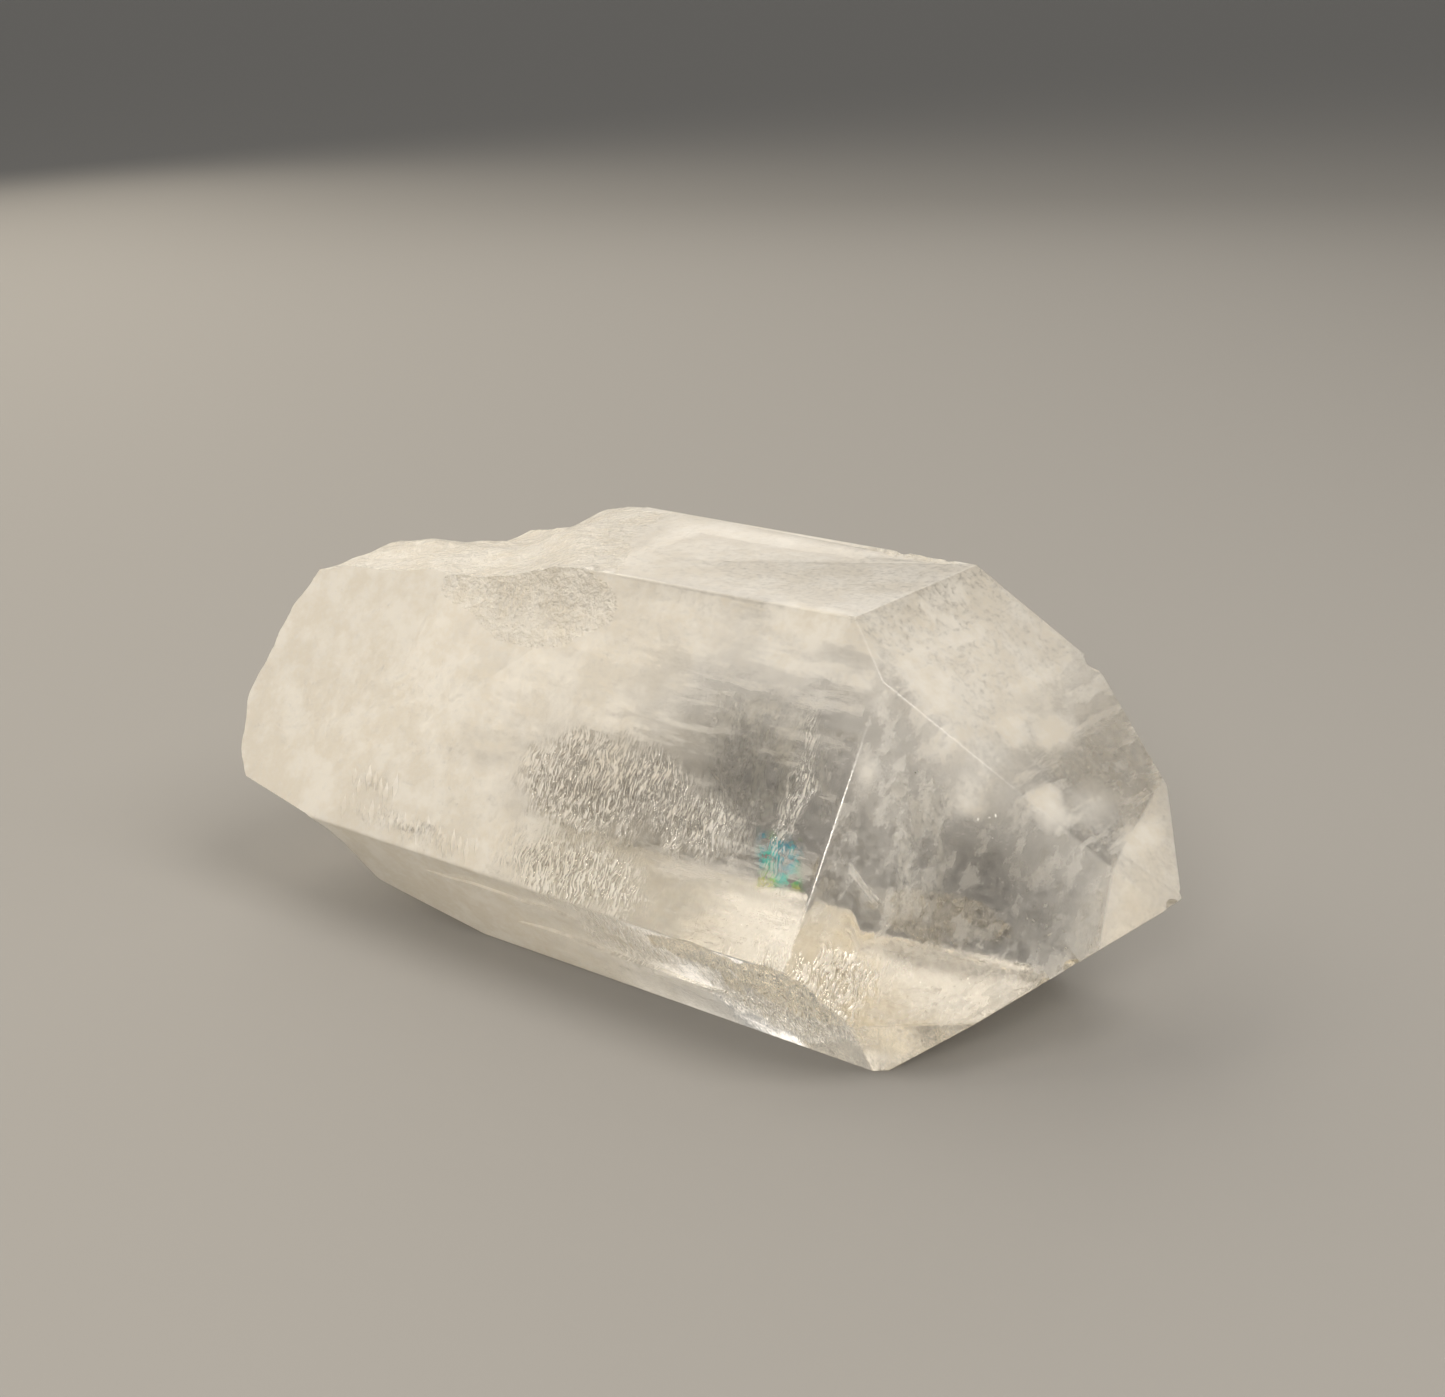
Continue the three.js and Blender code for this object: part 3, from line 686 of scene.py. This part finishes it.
def milkiness(tree, place, fine):
    """How cloudy the stone is, 0 to 1, at a place in millimetres from the shoulder."""
    x, y, z = (add(tree, "ShaderNodeSeparateXYZ", {0: place}, out=i) for i in range(3))
    clouds = add(tree, "ShaderNodeMapping", {"Vector": place, "Scale": (0.13, 0.2, 0.2)})
    clouds = {"Vector": clouds, "Scale": 1.0, "Detail": 4.0, "Roughness": 0.62}
    clouds = add(tree, "ShaderNodeTexNoise", clouds)
    # Wisps run along the crystal on the long faces and across it on the point.
    along = add(tree, "ShaderNodeVectorMath", {0: place, 1: (0.1, 0.6, 0.6)}, operation="MULTIPLY")
    across = add(tree, "ShaderNodeVectorMath", {0: place, 1: (0.62, 0.12, 0.34)}, operation="MULTIPLY")
    on_point = add(tree, "ShaderNodeMath", {0: x, 1: -1.0}, operation="GREATER_THAN")
    wisps = add(tree, "ShaderNodeMix", {0: on_point, 4: along, 5: across}, out=1, data_type="VECTOR")
    wisps = {"Vector": wisps, "Scale": 1.0, "Detail": 4.0, "Roughness": 0.66}
    wisps = add(tree, "ShaderNodeTexNoise", wisps)
    # The milky root, with a soft ragged end.
    edge = add(tree, "ShaderNodeMath", {0: clouds, 1: -40.0, 2: x}, operation="MULTIPLY_ADD")
    edge = add(tree, "ShaderNodeMath", {0: z, 1: 0.6, 2: edge}, operation="MULTIPLY_ADD")
    root = add(tree, "ShaderNodeMapRange", {0: edge, 1: -44.0, 2: -76.0, 3: 0.0, 4: 0.95}, **SOFT)
    # Haze along the upper part of the long faces, higher up towards the point and thin on top.
    shore = add(tree, "ShaderNodeMapRange", {0: x, 1: -47.0, 2: -17.0, 3: -4.0, 4: 16.5})
    above = add(tree, "ShaderNodeMath", {0: z, 1: shore}, operation="SUBTRACT")
    back = add(tree, "ShaderNodeMapRange", {0: y, 1: 0.0, 2: 25.0, 3: 0.0, 4: 22.0})
    above = add(tree, "ShaderNodeMath", {0: above, 1: back}, operation="SUBTRACT")
    above = add(tree, "ShaderNodeMath", {0: clouds, 1: 30.0, 2: above}, operation="MULTIPLY_ADD")
    upper = add(tree, "ShaderNodeMapRange", {0: above, 1: 2.0, 2: 25.0, 3: 0.0, 4: 0.66}, **SOFT)
    on_top = add(tree, "ShaderNodeMapRange", {0: z, 1: 20.4, 2: 20.8})
    thinner = add(tree, "ShaderNodeMapRange", {0: x, 1: -50.0, 2: -10.0, 3: -0.75, 4: -0.9})
    thinner = add(tree, "ShaderNodeMath", {0: on_top, 1: thinner, 2: 1.0}, operation="MULTIPLY_ADD")
    thread = add(tree, "ShaderNodeMapRange", {0: wisps, 1: 0.48, 2: 0.64, 3: 0.04, 4: 0.34}, **SOFT)
    haze = add(tree, "ShaderNodeMath", {0: upper, 1: thinner}, operation="MULTIPLY")
    thread = add(tree, "ShaderNodeMath", {0: thread, 1: thinner}, operation="MULTIPLY")
    # Haze over the near part of the point's top face.
    point = 0.66
    end = add(tree, "ShaderNodeMath", {0: y, 1: 0.16, 2: x}, operation="MULTIPLY_ADD")
    end = add(tree, "ShaderNodeMath", {0: wisps, 1: 8.0, 2: end}, operation="MULTIPLY_ADD")
    for value, start, stop, least in ((y, -12.0, -4.0, 0.0), (z, -6.0, 6.0, 0.0), (end, 19.0, 8.0, 0.3)):
        share = add(tree, "ShaderNodeMapRange", {0: value, 1: start, 2: stop, 3: least}, **SOFT)
        point = add(tree, "ShaderNodeMath", {0: point, 1: share}, operation="MULTIPLY")
    haze = add(tree, "ShaderNodeMath", {0: haze, 1: point}, operation="MAXIMUM")
    haze = add(tree, "ShaderNodeMath", {0: haze, 1: thread}, operation="ADD")
    # The very tip, past a flat crack, is evenly hazy.
    tip = add(tree, "ShaderNodeMath", {0: y, 1: 0.2, 2: x}, operation="MULTIPLY_ADD")
    tip = add(tree, "ShaderNodeMapRange", {0: tip, 1: 20.7, 2: 21.3, 3: 0.0, 4: 0.6}, **SOFT)
    haze = add(tree, "ShaderNodeMath", {0: haze, 1: tip}, operation="MAXIMUM")
    milk = add(tree, "ShaderNodeMath", {0: root, 1: haze}, operation="MAXIMUM")
    # A fine grain, which leaves the borders of the haze smooth.
    grain = add(tree, "ShaderNodeMapRange", {0: fine, 1: 0.3, 2: 0.7, 3: 0.45, 4: 1.55})
    milk = add(tree, "ShaderNodeMath", {0: milk, 1: HALF_MILKY}, operation="SUBTRACT")
    milk = {0: milk, 1: grain, 2: HALF_MILKY}
    return add(tree, "ShaderNodeMath", milk, operation="MULTIPLY_ADD", use_clamp=True)


def patches(tree, place, specs):
    """The strongest of some ellipsoids, each with its amount in the middle, fading to 0 at its surface."""
    strongest = 0.0
    for middle, radii, amount in specs:
        scale = tuple(1 / r for r in radii)
        shift = tuple(-m / r for m, r in zip(middle, radii))
        ball = add(tree, "ShaderNodeMapping", {"Vector": place, "Scale": scale, "Location": shift})
        ball = add(tree, "ShaderNodeTexGradient", {"Vector": ball}, out="Fac", gradient_type="SPHERICAL")
        ball = add(tree, "ShaderNodeMath", {0: ball, 1: amount}, operation="MULTIPLY")
        strongest = add(tree, "ShaderNodeMath", {0: strongest, 1: ball}, operation="MAXIMUM")
    return strongest


def place_in_mm(tree):
    """The place on the stone, in millimetres from the shoulder."""
    place = add(tree, "ShaderNodeTexCoord", out="Object")
    spread = {"Vector": place, "Scale": (1 / MM,) * 3, "Location": tuple(-SET_DOWN)}
    return add(tree, "ShaderNodeMapping", spread)


def quartz_material(name, broken):
    """Clear to milky quartz, with smooth grown faces or, if broken, rough broken stone."""
    quartz, tree = new_material(name)
    place = place_in_mm(tree)
    fine = add(
        tree,
        "ShaderNodeTexNoise",
        {"Vector": place, "Scale": 1.1 if broken else 1.7, "Detail": 3.0, "Roughness": 0.62},
    )
    milk = milkiness(tree, place, fine)

    ragged = add(tree, "ShaderNodeTexNoise", {"Vector": place, "Scale": 0.35, "Detail": 2.0}, out="Color")
    ragged = {0: ragged, 1: (5.0,) * 3, 2: place}
    ragged = add(tree, "ShaderNodeVectorMath", ragged, operation="MULTIPLY_ADD")
    ragged = add(tree, "ShaderNodeVectorMath", {0: ragged, 1: (-2.5,) * 3}, operation="ADD")
    etched = patches(tree, ragged, ETCHED)
    etched = add(tree, "ShaderNodeMapRange", {0: etched, 1: 0.0, 2: 0.5}, **SOFT)
    near = add(tree, "ShaderNodeMix", {0: 0.3, 4: place, 5: ragged}, out=1, data_type="VECTOR")
    loose = add(tree, "ShaderNodeMix", {0: 0.6, 4: place, 5: ragged}, out=1, data_type="VECTOR")
    strokes = add(tree, "ShaderNodeMapping", {"Vector": near, "Scale": (4.6, 0.9, 0.9)})
    strokes = {"Vector": strokes, "Scale": 1.0, "Detail": 1.5, "Roughness": 0.6}
    strokes = add(tree, "ShaderNodeTexNoise", strokes)
    lines = add(tree, "ShaderNodeMapRange", {0: strokes, 1: 0.42, 2: 0.62, 3: -0.7, 4: 0.9})
    lines = add(tree, "ShaderNodeMath", {0: lines, 1: etched}, operation="MULTIPLY")
    milk = add(tree, "ShaderNodeMath", {0: milk, 1: lines}, operation="ADD", use_clamp=True)
    if not broken:
        # white clouds under the surface, and painted glare painted on as white spots
        white_clouds_and_glare = patches(tree, loose, WHITE_CLOUDS_AND_GLARE)
        flecked = add(tree, "ShaderNodeMapRange", {0: fine, 1: 0.35, 2: 0.65, 3: 0.7, 4: 1.3})
        white_clouds_and_glare = add(tree, "ShaderNodeMath", {0: white_clouds_and_glare, 1: flecked}, operation="MULTIPLY")
        milk = add(tree, "ShaderNodeMath", {0: milk, 1: white_clouds_and_glare}, operation="ADD", use_clamp=True)

    # The haze is a dust far finer than can be made out, so each spot of it is clear or cloudy at random.
    dust = add(tree, "ShaderNodeTexWhiteNoise", {"Vector": place}, noise_dimensions="3D")
    dust = add(tree, "ShaderNodeMapRange", {0: dust, 3: 0.5, 4: 1.5})
    milk = add(tree, "ShaderNodeMath", {0: milk, 1: dust}, operation="MULTIPLY", use_clamp=True)

    mottle = {"Vector": place, "Scale": 0.2, "Detail": 4.0, "Roughness": 0.74}
    mottle = add(tree, "ShaderNodeTexNoise", mottle)
    mottle = add(tree, "ShaderNodeMapRange", {0: mottle, 1: 0.42, 2: 0.58})
    cream = add(tree, "ShaderNodeMix", {0: mottle, 6: MILK_SHADE, 7: MILK}, out=2, data_type="RGBA")
    painted_shade = CLEAR
    if not broken:
        # painted shade: the clear stone tinted dark in patches, for darkness seen through it
        painted_shade = patches(tree, loose, PAINTED_SHADE_PATCHES)
        painted_shade = add(tree, "ShaderNodeMix", {0: painted_shade, 6: CLEAR, 7: PAINTED_SHADE}, out=2, data_type="RGBA")
    colour = add(tree, "ShaderNodeMix", {0: milk, 6: painted_shade, 7: cream}, out=2, data_type="RGBA")
    clear = add(tree, "ShaderNodeMapRange", {0: milk, 3: 1.0, 4: THROUGH_HAZE})
    polish = BROKEN_ROUGHNESS if broken else GROWN_ROUGHNESS
    polish = add(tree, "ShaderNodeMapRange", {0: milk, 3: polish, 4: HAZE_ROUGHNESS})
    # Dark hairlines along the borders of the etched strokes.
    hair = add(tree, "ShaderNodeMath", {0: strokes, 1: 0.46, 2: 0.018}, operation="COMPARE")
    hair = add(tree, "ShaderNodeMath", {0: hair, 1: etched}, operation="MULTIPLY")
    colour = add(tree, "ShaderNodeMix", {0: hair, 6: colour, 7: SCRATCH}, out=2, data_type="RGBA")
    if broken:
        relief, strength = fine, 1.0
    else:
        relief = strokes
        strength = add(tree, "ShaderNodeMapRange", {0: etched, 3: 0.03, 4: 0.8})
    bump = add(tree, "ShaderNodeBump", {"Height": relief, "Strength": strength, "Distance": 0.0006})
    surface = add(
        tree,
        "ShaderNodeBsdfPrincipled",
        {
            "Base Color": colour,
            "Roughness": polish,
            "IOR": QUARTZ_IOR,
            "Transmission Weight": clear,
            "Normal": bump,
            "Coat Weight": 0.5,
            "Coat Roughness": 0.16,
            "Coat Normal": bump,
        },
    )
    inside = add(tree, "ShaderNodeVolumeAbsorption", {"Color": linear("#F6EFDD"), "Density": 2.0})
    add(tree, "ShaderNodeOutputMaterial", {"Surface": surface, "Volume": inside}, out=None)
    return quartz


crystal.data.materials[GROWN] = quartz_material("clear_quartz_grown", broken=False)
crystal.data.materials[BROKEN] = quartz_material("clear_quartz_broken", broken=True)
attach(crystal, "root")
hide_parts("quartz_crystal")

# ---- Veils -----------------------------------------------------------------------------------------
# Healed cracks inside the clear half: thin curved sheets of tiny trapped bubbles. They look like
# white wisps and show only where the bubbles are dense.


def sheet(corners, bulge, seed, cells=22):
    """A gently curved sheet between four corners, as points and faces. Also how far in from its rim."""
    a, b, c, d = (np.array(corner, float) for corner in corners)
    u, v = (g.ravel() for g in np.meshgrid(np.linspace(0, 1, cells + 1), np.linspace(0, 1, cells + 1)))
    u1, v1 = u[:, None], v[:, None]
    points = (a * (1 - u1) + b * u1) * (1 - v1) + (d * (1 - u1) + c * u1) * v1
    out = np.cross(b - a, d - a)
    out /= np.linalg.norm(out)
    lift = bulge * (swell(u * 2.3 + 3, v * 2.3 + 3, seed) + 0.4 * swell(u * 6 + 3, v * 6 + 3, seed + 1))
    points = points + lift[:, None] * out
    r, c = (g.ravel() for g in np.meshgrid(np.arange(cells), np.arange(cells), indexing="ij"))
    at = r * (cells + 1) + c
    faces = np.stack((at, at + 1, at + cells + 2, at + cells + 1), 1)
    rim = np.minimum(np.minimum(u, 1 - u), np.minimum(v, 1 - v)) * 2
    return points, faces, np.clip(rim * 2.2, 0, 1)


def sheets_object(name, specs, cells=22):
    """One piece from several sheets, with a point attribute, rim, that is 0 at each one's border."""
    points, faces, rims, start = [], [], [], 0
    for i, (corners, bulge) in enumerate(specs):
        p, f, rim = sheet(corners, bulge, 200 + 7 * i, cells)
        points.append(p + SET_DOWN)
        faces.append(f + start)
        rims.append(rim)
        start += len(p)
    piece = mesh_object(name, np.concatenate(points), np.concatenate(faces).tolist())
    piece.data.attributes.new("rim", "FLOAT", "POINT").data.foreach_set("value", np.concatenate(rims))
    piece.data.shade_smooth()
    return piece


VEILS = (
    # four corners (mm from the shoulder), bulge
    (((-2.1, -7.2, 6.6), (3.1, -0.8, 3.6), (5.6, -6.1, -9.0), (1.9, -11.5, -7.5)), 0.9),
    (((-2.6, -16.1, 0.4), (-1.6, -15.2, 0.3), (3.8, -13.4, -5.9), (3.0, -14.3, -6.0)), 0.2),
    (((11.6, 6.6, 4.0), (13.6, 15.6, 3.0), (13.9, 15.8, 1.4), (11.8, 7.0, 2.2)), 0.5),
    (((-15.1, -15.2, -2.1), (-12.8, -14.9, -1.6), (-11.2, -17.1, -5.2), (-13.5, -17.4, -5.7)), 0.15),
    (((-19.6, -10.1, 7.0), (-2.9, -9.4, 8.9), (-1.1, -12.6, 0.4), (-17.3, -14.5, -2.0)), 1.1),
    (((-2.0, 11.6, 13.2), (5.7, 19.0, 6.8), (11.0, 10.7, 1.6), (4.9, 0.8, 6.6)), 1.0),
    (((-18.4, -13.6, 4.4), (-13.0, -15.9, 0.6), (-13.2, -13.6, -0.8), (-18.2, -11.6, 3.2)), 0.1),
    (((-13.0, -15.9, 0.6), (-9.6, -17.8, -2.4), (-9.8, -15.6, -3.6), (-13.2, -13.6, -0.8)), 0.1),
    (((-25.0, -14.2, 3.2), (-25.2, -17.0, -1.2), (-24.6, -15.0, -2.4), (-24.4, -12.2, 2.2)), 0.1),
    (((-21.0, -8.4, 11.0), (-6.0, -8.0, 12.4), (-5.0, -12.4, 5.4), (-20.0, -12.6, 4.6)), 0.9),
)
veil, tree = new_material("healed_crack_veil")
place = add(tree, "ShaderNodeTexCoord", out="Object")
place = add(tree, "ShaderNodeMapping", {"Vector": place, "Scale": (620.0, 520.0, 190.0)})
wisps = {"Vector": place, "Scale": 1.0, "Detail": 6.0, "Roughness": 0.66, "Distortion": 0.25}
wisps = add(tree, "ShaderNodeTexNoise", wisps)
wisps = add(tree, "ShaderNodeMapRange", {0: wisps, 1: 0.42, 2: 0.6}, **SOFT)
rim = add(tree, "ShaderNodeAttribute", out="Fac", attribute_name="rim")
wisps = add(tree, "ShaderNodeMath", {0: wisps, 1: rim}, operation="MULTIPLY")
surface = add(
    tree,
    "ShaderNodeBsdfPrincipled",
    {"Base Color": linear("#FBF8F1"), "Roughness": 0.6, "Specular IOR Level": 0.2, "Alpha": wisps},
)
add(tree, "ShaderNodeOutputMaterial", {"Surface": surface}, out=None)
veils = sheets_object("healed_veils", VEILS)
veils.data.materials.append(veil)
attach(veils, "root")

# ---- Inclusion flecks ------------------------------------------------------------------------------
# Tiny flat pockets of old fluid, caught inside the stone in a few thin layers. They show as white
# specks in the clear half.

FLECK_LAYERS = (
    # four corners (mm from the shoulder), bulge
    (((11.0, -3.4, -4.7), (13.0, -0.9, -3.7), (17.4, -1.1, -11.2), (15.1, -4.0, -12.3)), 0.6),
    (((-14.5, -12.5, 2.5), (-8.5, -12.0, 3.0), (-8.0, -14.0, 0.5), (-14.0, -14.5, 0.2)), 0.4),
    (((2.0, -9.0, 9.0), (10.0, -4.0, 6.0), (13.0, -6.0, 1.0), (3.0, -12.0, 3.0)), 0.8),
    (((4.0, 2.0, 9.0), (12.0, 3.0, 3.0), (10.0, 14.0, 3.0), (2.0, 13.0, 9.0)), 1.0),
    (((-24.0, -4.0, 6.0), (-8.0, -4.0, 8.0), (-8.0, -10.0, -6.0), (-24.0, -10.0, -6.0)), 1.4),
)
FLECK_SMALLEST, FLECK_LARGEST = (0.08, 0.05, 0.02), (0.3, 0.2, 0.06)  # half sizes, mm
FLECKS_PER_SQUARE_METRE = 0.55e6

tree, given, result = node_tree(
    "inclusion_flecks",
    {"Layers": "Geometry", "Per square metre": "Float", "Seed": "Int", "Material": "Material"},
)
points = add(
    tree,
    "GeometryNodeDistributePointsOnFaces",
    {"Mesh": given["Layers"], "Density": given["Per square metre"], "Seed": given["Seed"]},
)
blank = add(tree, "GeometryNodeMeshIcoSphere", {"Radius": MM, "Subdivisions": 2})
turn = add(
    tree,
    "FunctionNodeRandomValue",
    {"Min": (0.0, 0.0, 0.0), "Max": (math.pi, math.pi, math.pi), "Seed": given["Seed"]},
    data_type="FLOAT_VECTOR",
)
size = add(
    tree,
    "FunctionNodeRandomValue",
    {"Min": FLECK_SMALLEST, "Max": FLECK_LARGEST, "Seed": given["Seed"]},
    data_type="FLOAT_VECTOR",
)
points = {"Points": points, "Instance": blank, "Rotation": turn, "Scale": size}
points = add(tree, "GeometryNodeInstanceOnPoints", points)
points = add(tree, "GeometryNodeRealizeInstances", {"Geometry": points})
points = add(tree, "GeometryNodeSetMaterial", {"Geometry": points, "Material": given["Material"]})
tree.links.new(points, result)

fluid, shader = new_material("trapped_fluid")
surface = add(shader, "ShaderNodeBsdfPrincipled", {"Base Color": linear("#FBF9F4"), "Roughness": 0.35})
add(shader, "ShaderNodeOutputMaterial", {"Surface": surface}, out=None)
flecks = sheets_object("inclusion_flecks", FLECK_LAYERS)
run_nodes(flecks, tree, {"Per square metre": FLECKS_PER_SQUARE_METRE, "Seed": 3, "Material": fluid})
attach(flecks, "root")

# ---- Rainbow fracture ------------------------------------------------------------------------------
# A small fresh crack under the front face, with a film of air in it so thin that it splits the light
# into teal, green, yellow and orange flakes.

RAINBOW = ((((-11.0, -14.6, -0.2), (-4.9, -14.5, -0.4), (-2.6, -17.7, -4.7), (-8.6, -18.2, -5.9)), 0.3),)
FILM_COLOURS = ("#EDF25A", "#58DB7C", "#1FE0CF", "#2AA7CF", "#9BE08A", "#FFA04A")  # as the film thickens
film, tree = new_material("thin_air_film")
place = place_in_mm(tree)
flakes = add(tree, "ShaderNodeTexVoronoi", {"Vector": place, "Scale": 1.9}, out=None)
bands = add(tree, "ShaderNodeTexNoise", {"Vector": place, "Scale": 0.42, "Detail": 3.0})
height = add(tree, "ShaderNodeSeparateXYZ", {0: place}, out="Z")
bands = add(tree, "ShaderNodeMath", {0: bands, 1: 11.0, 2: height}, operation="MULTIPLY_ADD")
bands = add(tree, "ShaderNodeMapRange", {0: bands, 1: -0.9, 2: 7.0})
ramp = add(tree, "ShaderNodeValToRGB", {0: bands}, out=None)
for element in list(ramp.color_ramp.elements)[1:]:
    ramp.color_ramp.elements.remove(element)
ramp.color_ramp.elements[0].color = linear(FILM_COLOURS[0])
for i, colour in enumerate(FILM_COLOURS[1:], 1):
    ramp.color_ramp.elements.new(i / (len(FILM_COLOURS) - 1)).color = linear(colour)
spots = add(tree, "ShaderNodeSeparateXYZ", {0: flakes.outputs["Color"]}, out="X")
spots = add(tree, "ShaderNodeMapRange", {0: spots, 1: 0.15, 2: 0.5, 3: 0.0, 4: 0.95})
rim = add(tree, "ShaderNodeAttribute", out="Fac", attribute_name="rim")
spots = add(tree, "ShaderNodeMath", {0: spots, 1: rim}, operation="MULTIPLY")
surface = add(
    tree,
    "ShaderNodeBsdfPrincipled",
    {"Base Color": ramp.outputs["Color"], "Roughness": 0.3, "Metallic": 0.0, "Alpha": spots},
)
add(tree, "ShaderNodeOutputMaterial", {"Surface": surface}, out=None)
rainbow = sheets_object("rainbow_fracture", RAINBOW)
rainbow.data.materials.append(film)
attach(rainbow, "root")

# ---- Sizes of the CAD parts and of the scene -----------------------------------------------------

boxes = {"cad": cad_box, "visual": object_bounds()}
boxes = {name: [[float(c) for c in corner] for corner in box] for name, box in boxes.items()}
